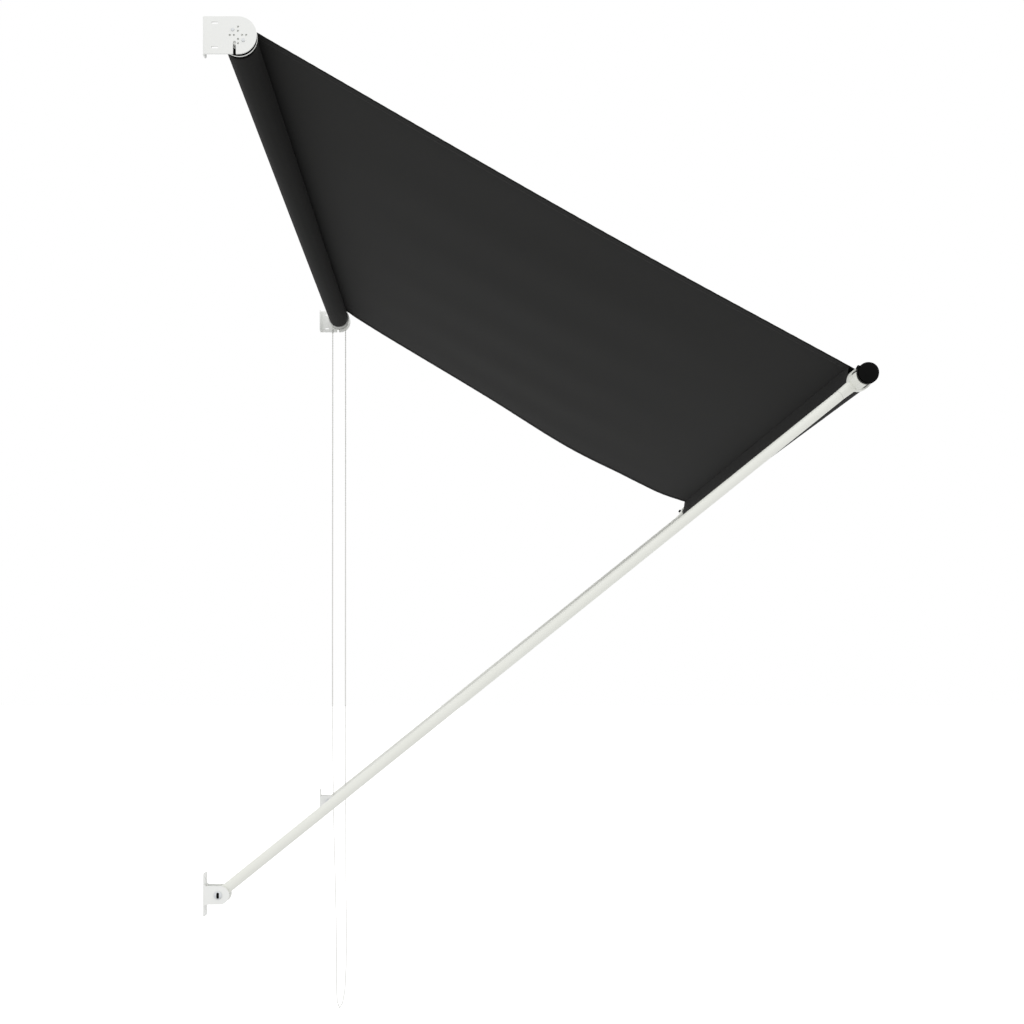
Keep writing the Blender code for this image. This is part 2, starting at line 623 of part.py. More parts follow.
def bolt_slot(centre):
    radius = BOLT_SLOT_WIDTH / 2
    reach = BOLT_SLOT_LENGTH / 2 - radius
    outline = arc((centre[0], centre[1] + reach), radius, 0, pi, TINY_ROUND)
    outline += arc((centre[0], centre[1] - reach), radius, pi, 2 * pi, TINY_ROUND)
    bm = bmesh.new()
    prism(bm, outline, "X", -BOLT_HEAD_HEIGHT - OVERCUT, -BOLT_SLOT_FLOOR)
    return bm


def upright(bm, profile, segments):
    """Turns an outline of (height, radius) points about the arm, which is the local Z."""
    turned(bm, profile, segments)
    bm.transform(Matrix.Rotation(-pi / 2, 4, "Y"))


def make_arm(side, finishes, parent):
    """The arm in its own frame: pivot at the origin, front bar at the top of local Z."""
    inward = 1 if side == "left" else -1
    inner = ARM_RADIUS - ARM_WALL
    collar_low = ARM_LENGTH - HEAD_COLLAR_LOW
    collar_high = ARM_LENGTH - HEAD_COLLAR_HIGH
    foot = EYE_RADIUS + GAP
    top = collar_low - GAP
    high_rivet = top - RIVET_FROM_TOP

    tube = bmesh.new()
    upright(tube, [(foot, inner), (foot, ARM_RADIUS), (top, ARM_RADIUS), (top, inner)], MEDIUM_ROUND)
    tube = add(f"arm_tube_{side}", tube, finishes["paint"], parent)
    holes = rivet_hole(bmesh.new(), inward, RIVET_LOW)
    shape_with(tube, rivet_hole(holes, inward, high_rivet), "DIFFERENCE")

    knuckle = bmesh.new()
    rod(knuckle, -EYE_WIDTH / 2, EYE_WIDTH / 2, EYE_RADIUS, MEDIUM_ROUND)
    knuckle = add(f"arm_knuckle_{side}", knuckle, finishes["paint"], parent)
    spigot = bmesh.new()
    start = KNUCKLE_SPIGOT_START
    end = KNUCKLE_SPIGOT_END
    profile = [(start, 0), (start, SOCKET_RADIUS), (end, SOCKET_RADIUS), (end, 0)]
    upright(spigot, profile, MEDIUM_ROUND)
    shape_with(knuckle, spigot, "UNION")
    bore = bmesh.new()
    rod(bore, -EYE_WIDTH, EYE_WIDTH, BOLT_RADIUS + GAP, SMALL_ROUND)
    shape_with(knuckle, rivet_hole(bore, inward, RIVET_LOW), "DIFFERENCE")

    head = bmesh.new()
    rod(head, -HEAD_WIDTH / 2, HEAD_WIDTH / 2, HEAD_RING_RADIUS, LARGE_ROUND, (0, ARM_LENGTH))
    head = add(f"arm_head_{side}", head, finishes["paint"], parent)
    neck = bmesh.new()
    spigot_end = ARM_LENGTH - HEAD_SPIGOT
    profile = [(spigot_end, 0), (spigot_end, SOCKET_RADIUS), (collar_low, SOCKET_RADIUS)]
    profile += [(collar_low, ARM_RADIUS), (collar_high, HEAD_COLLAR_RADIUS), (collar_high, 0)]
    upright(neck, profile, MEDIUM_ROUND)
    shape_with(head, neck, "UNION")
    shape_with(head, saddle(inward), "UNION")
    bore = bmesh.new()
    reach = SADDLE_REACH + OVERCUT
    rod(bore, -reach, reach, BAR_RADIUS + RING_CLEARANCE, LARGE_ROUND, (0, ARM_LENGTH))
    shape_with(head, rivet_hole(bore, inward, high_rivet), "DIFFERENCE")

    for name, height in (("low", RIVET_LOW), ("high", high_rivet)):
        rivet = bmesh.new()
        seat = inward * (ARM_RADIUS + GAP)
        crown = seat + inward * RIVET_HEAD_HEIGHT
        inner_end = inward * RIVET_DEPTH
        profile = [(inner_end, 0), (inner_end, RIVET_RADIUS), (seat, RIVET_RADIUS)]
        profile += [(seat, RIVET_HEAD_RADIUS), (crown, RIVET_HEAD_RADIUS / 2), (crown, 0)]
        turned(rivet, profile, TINY_ROUND, (0, height))
        add(f"arm_rivet_{side}_{name}", rivet, finishes["steel"], parent)


def saddle(inward):
    """The open half-ring that carries the bar's end, outboard of the arm's ring."""
    centre = (0, ARM_LENGTH)
    start = 1.5 * pi - SADDLE_HALF_ANGLE
    end = 1.5 * pi + SADDLE_HALF_ANGLE
    outline = arc(centre, HEAD_RING_RADIUS - GAP, start, end, SADDLE_STEPS)
    outline += arc(centre, BAR_RADIUS * SADDLE_CORE, end, start, SADDLE_STEPS)
    low, high = sorted((0, -inward * SADDLE_REACH))
    bm = bmesh.new()
    prism(bm, outline, "X", low, high)
    return bm


def rivet_hole(bm, inward, height):
    ends = sorted((inward * (RIVET_DEPTH - 2 * GAP), inward * (ARM_RADIUS + OVERCUT)))
    rod(bm, *ends, RIVET_RADIUS + GAP, TINY_ROUND, (0, height))
    return bm


def make_front_bar(finishes, parent):
    low = LEFT_FACE - BAR_OVERHANG
    high = RIGHT_FACE + BAR_OVERHANG
    inner = BAR_RADIUS - BAR_WALL
    bar = bmesh.new()
    turned(bar, [(low, inner), (low, BAR_RADIUS), (high, BAR_RADIUS), (high, inner)], LARGE_ROUND)
    add("front_bar", bar, finishes["bar"], parent)

    for side in ("left", "right"):
        cap = bmesh.new()
        end = -BAR_OVERHANG
        face = end - CAP_THICK
        rim = face + CAP_EDGE
        profile = [(end + CAP_PLUG, 0), (end + CAP_PLUG, inner - GAP), (end - GAP, inner - GAP)]
        profile += [(end - GAP, CAP_RADIUS), (rim, CAP_RADIUS), (face, CAP_FACE_RADIUS), (face, 0)]
        turned(cap, profile, LARGE_ROUND)
        add(f"bar_cap_{side}", mirrored(cap, side), finishes["cap"], parent)

        plane = ARM_INSET - SADDLE_REACH - 2 * GAP
        start = plane - COLLAR_WIDTH
        spread = asin(BOSS_HALF / COLLAR_RADIUS)
        outline = arc((0, 0), COLLAR_RADIUS, BOSS_ANGLE + spread, BOSS_ANGLE - spread + 2 * pi, LARGE_ROUND)
        for sign in (-1, 1):
            out = Vector((cos(BOSS_ANGLE), sin(BOSS_ANGLE))) * BOSS_RADIUS
            across = Vector((-sin(BOSS_ANGLE), cos(BOSS_ANGLE))) * BOSS_HALF * BOSS_TAPER * sign
            outline.append(tuple(out + across))
        collar = bmesh.new()
        prism(collar, outline, "X", start, plane)
        collar = add(f"bar_collar_{side}", mirrored(collar, side), finishes["cap"], parent)
        bore = bmesh.new()
        rod(bore, start - OVERCUT, plane + OVERCUT, BAR_RADIUS + GAP, LARGE_ROUND)
        shape_with(collar, mirrored(bore, side), "DIFFERENCE")
        middle = start + COLLAR_WIDTH / 2
        bore = bmesh.new()
        radial_rod(bore, middle, BAR_RADIUS - OVERCUT, BOSS_RADIUS + OVERCUT, SET_SCREW_RADIUS + GAP)
        shape_with(collar, mirrored(bore, side), "DIFFERENCE")
        screw = bmesh.new()
        radial_rod(screw, middle, BAR_RADIUS + GAP, BOSS_RADIUS - SET_SCREW_DEPTH, SET_SCREW_RADIUS)
        add(f"collar_screw_{side}", mirrored(screw, side), finishes["steel"], parent)


def radial_rod(bm, x, low, high, radius):
    """A rod that points away from the bar's axis through the collar's boss."""
    rod(bm, low, high, radius, SMALL_ROUND)
    turn = Matrix.Rotation(BOSS_ANGLE, 4, "X") @ Matrix.Rotation(pi / 2, 4, "Z")
    bm.transform(Matrix.Translation((x, 0, 0)) @ turn)


def cloth_line():
    """Start, direction and normal of the cloth's run, tangent to the roll and the sleeve."""
    start_radius = ROLL_RADIUS + GAP + CLOTH_THICK / 2
    end_radius = SLEEVE_OUTER - CLOTH_THICK / 2
    across = BAR_AXIS - ROLLER_AXIS
    slope = atan2(-across.z, -across.y) + asin((start_radius - end_radius) / across.length)
    along = Vector((0, -cos(slope), -sin(slope)))
    normal = Vector((0, -sin(slope), cos(slope)))
    return ROLLER_AXIS + normal * start_radius, BAR_AXIS + normal * end_radius, along, normal


def make_hem_sleeve(finish, parent):
    """The pocket that holds the bar: a drop-shaped wrap that narrows to the hem seam."""
    _, _, along, normal = cloth_line()
    upper = normal * SLEEVE_OUTER - along * HEM
    lower = upper - normal * HEM_THICK
    top = atan2(normal.z, normal.y)
    reach = hypot(lower.y, lower.z)
    touch = atan2(lower.z, lower.y) + acos(SLEEVE_OUTER / reach)
    if touch < top:
        touch += 2 * pi
    outline = [(upper.y, upper.z)] + arc((0, 0), SLEEVE_OUTER, top, touch, LARGE_ROUND)
    outline += [(lower.y, lower.z)]
    bm = bmesh.new()
    prism(bm, outline, "X", CLOTH_LOW_X, CLOTH_HIGH_X)
    sleeve = add("hem_sleeve", bm, finish, parent)
    bore = bmesh.new()
    rod(bore, CLOTH_LOW_X - OVERCUT, CLOTH_HIGH_X + OVERCUT, SLEEVE_INNER, LARGE_ROUND)
    shape_with(sleeve, bore, "DIFFERENCE")


def make_canopy(finish, parent):
    """The taut cloth from the top of the roll to the hem, a little slacker to the right."""
    start, end, along, normal = cloth_line()
    start = start + along * CLOTH_START
    end = end - along * (HEM + GAP)
    rows = CLOTH_ROWS
    columns = CLOTH_COLUMNS
    bm = bmesh.new()
    grid = []
    for i in range(rows + 1):
        t = i / rows
        line = []
        for j in range(columns + 1):
            q = j / columns
            sag = (SAG_LEFT + (SAG_RIGHT - SAG_LEFT) * q) * 4 * t * (1 - t)
            point = start.lerp(end, t) - normal * sag
            point.x = CLOTH_LOW_X + (CLOTH_HIGH_X - CLOTH_LOW_X) * q
            line.append(bm.verts.new(point - BAR_AXIS))
        grid.append(line)
    for a, b in zip(grid, grid[1:]):
        for j in range(columns):
            bm.faces.new((a[j], a[j + 1], b[j + 1], b[j]))
    canopy = add("canopy", bm, finish, parent)
    solidify = canopy.modifiers.new("Cloth", "SOLIDIFY")
    solidify.thickness = CLOTH_THICK
    solidify.offset = 0


def main():
    clear_scene()
    paint = material("white powder coat", "ECEDEB", 0.4)
    ivory = material("ivory powder coat", "E4E5DA", 0.4)
    cloth = material("charcoal polyester", "282826", 0.9)
    black = material("black plastic", "0B0B0A", 0.45)
    black_paint = material("black powder coat", "0E0E0D", 0.45)
    grey = material("light grey plastic", "C4C5C1", 0.5)
    white = material("white plastic", "E6E7E4", 0.45)
    nylon = material("natural nylon", "D9D7CC", 0.5)
    steel = material("zinc plated steel", "B5B6B8", 0.35, 1.0)
    dark_steel = material("black oxide steel", "1A1A1B", 0.4, 1.0)
    aluminium = material("aluminium", "9A9B9D", 0.4, 1.0)

    for side in ("left", "right"):
        make_roller_bracket(side, paint)
        make_bracket_screws(side, steel)
        make_arm_bracket(side, paint)
        make_pivot(side, {"steel": steel, "nylon": nylon})
    make_idle_hub(white)
    make_clutch_housing(grey)
    make_brake_spring(steel)
    make_chain(white, grey)

    roller = empty("roller_axis", ROLLER_AXIS)
    make_roller({"tube": aluminium, "cloth": cloth, "plug": white, "wheel": grey}, roller)
    for side, x in (("left", LEFT_FACE + ARM_INSET), ("right", RIGHT_FACE - ARM_INSET)):
        arm = empty(f"arm_axis_{side}", (x, PIVOT_Y, PIVOT_Z), OPEN_ANGLE)
        make_arm(side, {"paint": ivory, "steel": steel}, arm)
    bar = empty("bar_axis", BAR_AXIS)
    make_front_bar({"bar": black_paint, "cap": black, "steel": dark_steel}, bar)
    make_hem_sleeve(cloth, bar)
    make_canopy(cloth, bar)


main()
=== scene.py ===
# Looks of a drop-arm window awning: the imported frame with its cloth, chain, finishes, lights and camera.
import json
import math

import bmesh
import bpy
import numpy as np
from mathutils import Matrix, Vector


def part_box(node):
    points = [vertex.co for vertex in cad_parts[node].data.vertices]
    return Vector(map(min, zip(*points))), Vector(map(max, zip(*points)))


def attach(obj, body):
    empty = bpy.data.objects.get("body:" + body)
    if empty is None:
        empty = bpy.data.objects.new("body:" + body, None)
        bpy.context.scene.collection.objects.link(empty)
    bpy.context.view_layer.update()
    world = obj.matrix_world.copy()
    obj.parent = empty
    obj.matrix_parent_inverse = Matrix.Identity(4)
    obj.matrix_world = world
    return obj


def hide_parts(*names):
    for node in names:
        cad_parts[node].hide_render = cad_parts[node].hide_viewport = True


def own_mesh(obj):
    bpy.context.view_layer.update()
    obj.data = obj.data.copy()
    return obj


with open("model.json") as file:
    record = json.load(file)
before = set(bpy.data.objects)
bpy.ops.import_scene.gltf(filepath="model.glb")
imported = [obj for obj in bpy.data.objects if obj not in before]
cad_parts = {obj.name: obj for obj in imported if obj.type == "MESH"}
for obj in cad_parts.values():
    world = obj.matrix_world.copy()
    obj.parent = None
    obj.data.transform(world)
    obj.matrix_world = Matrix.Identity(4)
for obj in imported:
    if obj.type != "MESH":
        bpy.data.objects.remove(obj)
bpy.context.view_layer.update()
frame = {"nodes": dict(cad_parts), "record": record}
bodies = frame["record"]["behaviour"]["bodies"]
bodyOf = {node: body for body, members in bodies.items() for node in members}
slotOf = {row["node"]: row["material_slot"] for row in frame["record"]["subparts"]}


def linear(hexColour, alpha=1.0):
    channels = [int(hexColour[i : i + 2], 16) / 255 for i in (0, 2, 4)]
    return (*[c / 12.92 if c <= 0.04045 else ((c + 0.055) / 1.055) ** 2.4 for c in channels], alpha)


def addNode(tree, kind, links=None, inputs=None, **settings):
    node = tree.nodes.new(kind)
    for name, value in settings.items():
        setattr(node, name, value)
    for name, value in (inputs or {}).items():
        node.inputs[name].default_value = value
    for name, source in (links or {}).items():
        tree.links.new(source, node.inputs[name])
    return node


def newMaterial(name, roughness, metallic=0.0, **constants):
    material = bpy.data.materials.new(name)
    material.use_nodes = True
    shader = material.node_tree.nodes["Principled BSDF"]
    shader.inputs["Roughness"].default_value = roughness
    shader.inputs["Metallic"].default_value = metallic
    for socket, value in constants.items():
        shader.inputs[socket.replace("_", " ")].default_value = value
    return material, material.node_tree, shader


def place(name, mesh, body, materials=()):
    piece = bpy.data.objects.new(name, mesh)
    bpy.context.scene.collection.objects.link(piece)
    for material in materials:
        mesh.materials.append(material)
    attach(piece, body)
    return piece


def skin(bm, rings, around=False, uvAt=None):
    # quads between each ring of points and the next, and a cap at each end unless they run around
    layer = bm.loops.layers.uv.new("cloth") if uvAt else None
    count = len(rings[0])
    spans = range(len(rings) if around else len(rings) - 1)
    for r in spans:
        s = (r + 1) % len(rings)
        for i in range(count):
            j = (i + 1) % count
            face = bm.faces.new((rings[r][i], rings[r][j], rings[s][j], rings[s][i]))
            if uvAt:
                for loop, (k, ring) in zip(face.loops, ((i, r), (j, r), (j, r + 1), (i, r + 1))):
                    loop[layer].uv = uvAt(k, ring)
    if not around:
        bm.faces.new(rings[0])
        bm.faces.new(rings[-1])
    bmesh.ops.recalc_face_normals(bm, faces=bm.faces)
    if bm.calc_volume(signed=True) < 0:
        bmesh.ops.reverse_faces(bm, faces=bm.faces)


def meshOf(name, bm, sharpAngle=35):
    mesh = bpy.data.meshes.new(name)
    bm.to_mesh(mesh)
    bm.free()
    mesh.shade_smooth()
    mesh.set_sharp_from_angle(angle=math.radians(sharpAngle))
    return mesh


studio = {
    "cameraPlace": (-2.512, -0.531, -1.292),
    "lens": 43.95,
    "sensorWidth": 36.0,
    "shift": (0.043, 0.165),
    "sight": 200.0,
    "floorHeight": -2.56,
    "floorSize": 60.0,
    "floorGlow": 0.35,
    "skyAbove": 1.12,
    "skyBelow": 0.80,
    # place, aim, width in m and power in W
    "lamps": {
        "overheadLight": ((-1.2, -2.2, 2.6), (0.8, -0.6, -0.6), 3.0, 14),
        "frontLight": ((0.6, -4.5, -0.6), (1.0, 0, -1.0), 3.0, 6),
    },
}


def makeStudio():
    camera = bpy.data.objects.new("camera", bpy.data.cameras.new("camera"))
    camera.data.lens = studio["lens"]
    camera.data.sensor_width = studio["sensorWidth"]
    camera.data.shift_x, camera.data.shift_y = studio["shift"]
    camera.data.clip_end = studio["sight"]
    camera.location = studio["cameraPlace"]
    camera.rotation_euler = (math.pi / 2, 0, -math.pi / 2)  # level, looking along +X
    bpy.context.scene.collection.objects.link(camera)
    bpy.context.scene.camera = camera

    # a white room that is brighter overhead, so undersides and lower edges fall off a little
    world = bpy.data.worlds.new("studio")
    world.use_nodes = True
    tree = world.node_tree
    background = tree.nodes["Background"]
    background.inputs["Color"].default_value = (1, 1, 1, 1)
    facing = addNode(tree, "ShaderNodeTexCoord").outputs["Generated"]
    height = addNode(tree, "ShaderNodeSeparateXYZ", {0: facing}).outputs[2]
    glow = addNode(tree, "ShaderNodeMapRange", {"Value": height},
                   {"From Min": -1.0, "To Min": studio["skyBelow"], "To Max": studio["skyAbove"]})
    seen = addNode(tree, "ShaderNodeLightPath").outputs["Is Camera Ray"]
    strength = addNode(tree, "ShaderNodeMix", {0: seen, 2: glow.outputs[0]}, {3: 1.0})
    tree.links.new(strength.outputs[0], background.inputs["Strength"])
    bpy.context.scene.world = world
    bpy.context.scene.view_settings.view_transform = "Standard"

    for name, (spot, aim, size, power) in studio["lamps"].items():
        lamp = bpy.data.objects.new(name, bpy.data.lights.new(name, "AREA"))
        lamp.data.size = size
        lamp.data.energy = power
        lamp.location = spot
        lamp.rotation_euler = (Vector(aim) - Vector(spot)).to_track_quat("-Z", "Y").to_euler()
        bpy.context.scene.collection.objects.link(lamp)

    bm = bmesh.new()
    bmesh.ops.create_grid(bm, x_segments=1, y_segments=1, size=studio["floorSize"])
    bmesh.ops.translate(bm, verts=bm.verts, vec=(0, 0, studio["floorHeight"]))
    floorPaint, _, shader = newMaterial("matt white floor paint", 0.9)
    shader.inputs["Base Color"].default_value = (0.95, 0.95, 0.95, 1)
    shader.inputs["Emission Color"].default_value = (1, 1, 1, 1)
    shader.inputs["Emission Strength"].default_value = studio["floorGlow"]
    floor = bpy.data.objects.new("floor", meshOf("floor", bm))
    floor.data.materials.append(floorPaint)
    floor.visible_diffuse = False  # it would light the underside of the cloth as strongly as the sky does
    floor.visible_glossy = False
    bpy.context.scene.collection.objects.link(floor)


makeStudio()
print("studio ready")


def powderCoat(name, colour, shade, roughness, shine=0.5, peelSize=0.002):
    # polyester powder baked on steel: satin, with broad soft patches and a faint orange peel of about 2 mm
    material, tree, shader = newMaterial(name, roughness, Coat_Weight=0.08 * shine, Coat_Roughness=0.25)
    shader.inputs["Specular IOR Level"].default_value = shine
    where = addNode(tree, "ShaderNodeTexCoord").outputs["Object"]
    cloud = addNode(tree, "ShaderNodeTexNoise", {"Vector": where}, {"Scale": 9, "Detail": 3})
    tint = addNode(tree, "ShaderNodeMix", {0: cloud.outputs[0]}, {6: linear(colour), 7: linear(shade)},
                   data_type="RGBA")
    tree.links.new(tint.outputs[2], shader.inputs["Base Color"])
    gloss = addNode(tree, "ShaderNodeMapRange", {"Value": cloud.outputs[0]},
                    {"To Min": roughness - 0.06, "To Max": roughness + 0.08})
    tree.links.new(gloss.outputs[0], shader.inputs["Roughness"])
    peel = addNode(tree, "ShaderNodeTexNoise", {"Vector": where}, {"Scale": 1 / peelSize, "Detail": 1})
    bump = addNode(tree, "ShaderNodeBump", {"Height": peel.outputs[0]},
                   {"Strength": 0.12, "Distance": 0.0002})
    tree.links.new(bump.outputs[0], shader.inputs["Normal"])
    return material


def mouldedPlastic(name, colour, shade, roughness, grain=0.0008, shine=0.5):
    # injection-moulded: even colour with faint flow, and a fine spark-eroded texture that breaks the shine
    material, tree, shader = newMaterial(name, roughness)
    shader.inputs["Specular IOR Level"].default_value = shine
    where = addNode(tree, "ShaderNodeTexCoord").outputs["Object"]
    flow = addNode(tree, "ShaderNodeTexNoise", {"Vector": where}, {"Scale": 60, "Detail": 2})
    tint = addNode(tree, "ShaderNodeMix", {0: flow.outputs[0]}, {6: linear(colour), 7: linear(shade)},
                   data_type="RGBA")
    tree.links.new(tint.outputs[2], shader.inputs["Base Color"])
    grit = addNode(tree, "ShaderNodeTexNoise", {"Vector": where}, {"Scale": 1 / grain, "Detail": 1})
    gloss = addNode(tree, "ShaderNodeMapRange", {"Value": grit.outputs[0]},
                    {"To Min": roughness - 0.05, "To Max": roughness + 0.08})
    tree.links.new(gloss.outputs[0], shader.inputs["Roughness"])
    bump = addNode(tree, "ShaderNodeBump", {"Height": grit.outputs[0]},
                   {"Strength": 0.15, "Distance": 0.0001})
    tree.links.new(bump.outputs[0], shader.inputs["Normal"])
    return material


def platedSteel(name, colour, shade, roughness, grain=0.003):
    # zinc or black oxide over turned steel: patchy crystals under a thin shine
    material, tree, shader = newMaterial(name, roughness, 1.0)
    where = addNode(tree, "ShaderNodeTexCoord").outputs["Object"]
    crystals = addNode(tree, "ShaderNodeTexVoronoi", {"Vector": where}, {"Scale": 1 / grain})
    tint = addNode(tree, "ShaderNodeMix", {0: crystals.outputs["Distance"]},
                   {6: linear(colour), 7: linear(shade)}, data_type="RGBA")
    tree.links.new(tint.outputs[2], shader.inputs["Base Color"])
    gloss = addNode(tree, "ShaderNodeMapRange", {"Value": crystals.outputs["Distance"]},
                    {"To Min": roughness - 0.08, "To Max": roughness + 0.1})
    tree.links.new(gloss.outputs[0], shader.inputs["Roughness"])
    return material


def wovenCanvas(name, colour, shade, thread):
    # solution-dyed polyester in plain weave: matt, with the threads just showing, and the raised crossings
    # painted lighter than the hollows as painted highlight and shade.
    # Real threads are about 0.5 mm apart, drawn three times as coarse so that they show.
    material, tree, shader = newMaterial(name, 0.92, Sheen_Weight=0.03, Sheen_Roughness=0.6)
    shader.inputs["Specular IOR Level"].default_value = 0.12
    where = addNode(tree, "ShaderNodeUVMap", uv_map="cloth").outputs[0]
    parts = addNode(tree, "ShaderNodeSeparateXYZ", {0: where})
    waves = []
    for axis in (0, 1):
        turn = addNode(tree, "ShaderNodeMath", {0: parts.outputs[axis]}, {1: math.pi / thread},
                       operation="MULTIPLY")
        waves.append(addNode(tree, "ShaderNodeMath", {0: turn.outputs[0]}, operation="SINE"))
    weave = addNode(tree, "ShaderNodeMath", {0: waves[0].outputs[0], 1: waves[1].outputs[0]},
                    operation="MULTIPLY")
    lift = addNode(tree, "ShaderNodeMapRange", {"Value": weave.outputs[0]}, {"From Min": -1.0})
    slub = addNode(tree, "ShaderNodeMapping", {"Vector": where}, {"Scale": (30, 700, 1)})
    slubs = addNode(tree, "ShaderNodeTexNoise", {"Vector": slub.outputs[0]}, {"Scale": 1, "Detail": 2})
    broad = addNode(tree, "ShaderNodeTexNoise", {"Vector": where}, {"Scale": 2.2, "Detail": 3})
    # raised crossings of the weave painted lighter than the hollows between them: painted highlight and shade
    # on the threads, broken up by the random slubs; the broad noise added next is random tone
    slubbedCrownLight = addNode(tree, "ShaderNodeMath", {0: slubs.outputs[0], 1: lift.outputs[0]},
                    operation="MULTIPLY")
    crownLightAndTone = addNode(tree, "ShaderNodeMath", {0: slubbedCrownLight.outputs[0], 1: broad.outputs[0]}, operation="ADD")
    share = addNode(tree, "ShaderNodeMath", {0: crownLightAndTone.outputs[0]}, {1: 0.6}, operation="MULTIPLY",
                    use_clamp=True)
    tint = addNode(tree, "ShaderNodeMix", {0: share.outputs[0]}, {6: linear(colour), 7: linear(shade)},
                   data_type="RGBA")
    tree.links.new(tint.outputs[2], shader.inputs["Base Color"])
    bump = addNode(tree, "ShaderNodeBump", {"Height": lift.outputs[0]},
                   {"Strength": 0.35, "Distance": 0.0003})
    tree.links.new(bump.outputs[0], shader.inputs["Normal"])
    return material


finishes = {
    "bracket_paint": powderCoat("white powder coat", "F2F3F1", "ECEDEA", 0.38),
    "arm_paint": powderCoat("ivory powder coat", "EDEEE8", "E6E7DF", 0.38),
    "bar_paint": powderCoat("black powder coat", "050505", "0A0A09", 0.42, 0.15),
    "zinc_steel": platedSteel("zinc-plated steel", "E6E8E9", "D2D5D8", 0.36),
    "black_steel": platedSteel("black-oxide steel", "1C1C1D", "2A2A2B", 0.38),
    "nylon": mouldedPlastic("natural nylon", "DBD9CE", "D2CFC2", 0.45),
    "black_plastic": mouldedPlastic("black moulded nylon", "020202", "060606", 0.55, shine=0.08),
    "white_plastic": mouldedPlastic("white moulded acetal", "ECEDEA", "E4E5E1", 0.38),
    "grey_plastic": mouldedPlastic("light grey moulded acetal", "CBCCC8", "C3C4C0", 0.42),
    "chain_plastic": mouldedPlastic("white acetal beads", "D8D8D3", "CDCDC7", 0.32, 0.002),
    "tube_aluminium": platedSteel("mill-finish aluminium", "B9BBBE", "A6A9AD", 0.34, 0.006),
    "cloth": wovenCanvas("charcoal polyester canvas", "151514", "1E1E1D", 0.0015),
}
threadFinish = mouldedPlastic("charcoal sewing thread", "2B2B29", "222221", 0.8, shine=0.15)
cordFinish = mouldedPlastic("white braided cord", "DADAD4", "CFCFC8", 0.8)
print("finishes ready")


edges = {"width": 0.00035, "segments": 2, "sharpFrom": 40, "merge": 1e-6, "flatWithin": 0.6}


def finishHardPart(node):
    # the solid's own mesh, merged, with its hard edges broken as a real one's are
    bm = bmesh.new()
    bm.from_mesh(frame["nodes"][node].data)
    bmesh.ops.remove_doubles(bm, verts=bm.verts, dist=edges["merge"])
    bmesh.ops.dissolve_limit(bm, angle_limit=math.radians(edges["flatWithin"]), verts=bm.verts,
                             edges=bm.edges)
    mesh = meshOf(node + "_finished", bm)
    mesh.materials.clear()
    piece = place(node + "_finished", mesh, bodyOf[node], [finishes[slotOf[node]]])
    bevel = piece.modifiers.new("worked edges", "BEVEL")
    bevel.width = edges["width"]
    bevel.segments = edges["segments"]
    bevel.limit_method = "ANGLE"
    bevel.angle_limit = math.radians(edges["sharpFrom"])
    bevel.harden_normals = True
    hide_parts(node)


softNodes = {"canopy", "cloth_roll", "hem_sleeve", "chain"}
for node in sorted(bodyOf):
    if node not in softNodes:
        finishHardPart(node)


# a black slab on each pivot's head: a painted dark reflection, standing in for the dark streak down the
# middle of the bolt's domed zinc head
pivotDarkReflection = {
    "width": 0.0050,
    "height": 0.0120,
    "thickness": 0.0004,
    "faceOut": 0.0019,  # its inner face, from the ear's
    "steps": 10,
}


def makePivotDarkReflections():
    radius = pivotDarkReflection["width"] / 2
    reach = pivotDarkReflection["height"] / 2 - radius
    turns = [math.pi * i / pivotDarkReflection["steps"] for i in range(pivotDarkReflection["steps"] + 1)]
    outline = [(radius * math.cos(t), reach + radius * math.sin(t)) for t in turns]
    outline += [(-y, -z) for y, z in outline]
    for side, outward in (("left", -1), ("right", 1)):
        low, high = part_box("pivot_bolt_" + side)
        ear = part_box("arm_bracket_" + side)
        middle = (low + high) / 2
        face = (ear[0].x if outward < 0 else ear[1].x) + outward * pivotDarkReflection["faceOut"]
        bm = bmesh.new()
        # the painted dark reflection, as a thin black slab just outside the ear
        skin(bm, [[bm.verts.new((x, middle.y + y, middle.z + z)) for y, z in outline]
                  for x in (face, face + outward * pivotDarkReflection["thickness"])])
        place("pivotDarkReflection_" + side, meshOf("pivotDarkReflection_" + side, bm), "wall_parts",
              [finishes["black_plastic"]])


makePivotDarkReflections()

# a thin black ring on the outer face of the near plug's flange: painted shade, standing in for the shadowed
# gap between the bracket plate and the flange
plugShadeRing = {
    "inner": 0.0245,
    "outer": 0.0366,
    "low": -0.0024,
    "high": -0.0004,
    "edge": 0.0003,
    "segments": 72,
}


def ringsAbout(bm, profile, segments, centreY, centreZ):
    # the profile of (x, radius) points, turned about a line along X
    rings = []
    for i in range(segments):
        turn = 2 * math.pi * i / segments
        rings.append([bm.verts.new((x, centreY + r * math.cos(turn), centreZ + r * math.sin(turn)))
                      for x, r in profile])
    return rings


def makePlugShadeRing():
    low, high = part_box("roller_plug_left")
    near, far = low.x + plugShadeRing["low"], low.x + plugShadeRing["high"]
    inner, outer, edge = plugShadeRing["inner"], plugShadeRing["outer"], plugShadeRing["edge"]
    profile = [(near, inner), (near, outer - edge), (near + edge, outer), (far, outer), (far, inner)]
    bm = bmesh.new()
    middle = (low + high) / 2
    # the painted shade ring, turned about the roller's axis
    skin(bm, ringsAbout(bm, profile, plugShadeRing["segments"], middle.y, middle.z), around=True)
    place("plugShadeRing", meshOf("plugShadeRing", bm), "roller", [finishes["black_plastic"]])


makePlugShadeRing()
print("hard parts finished")


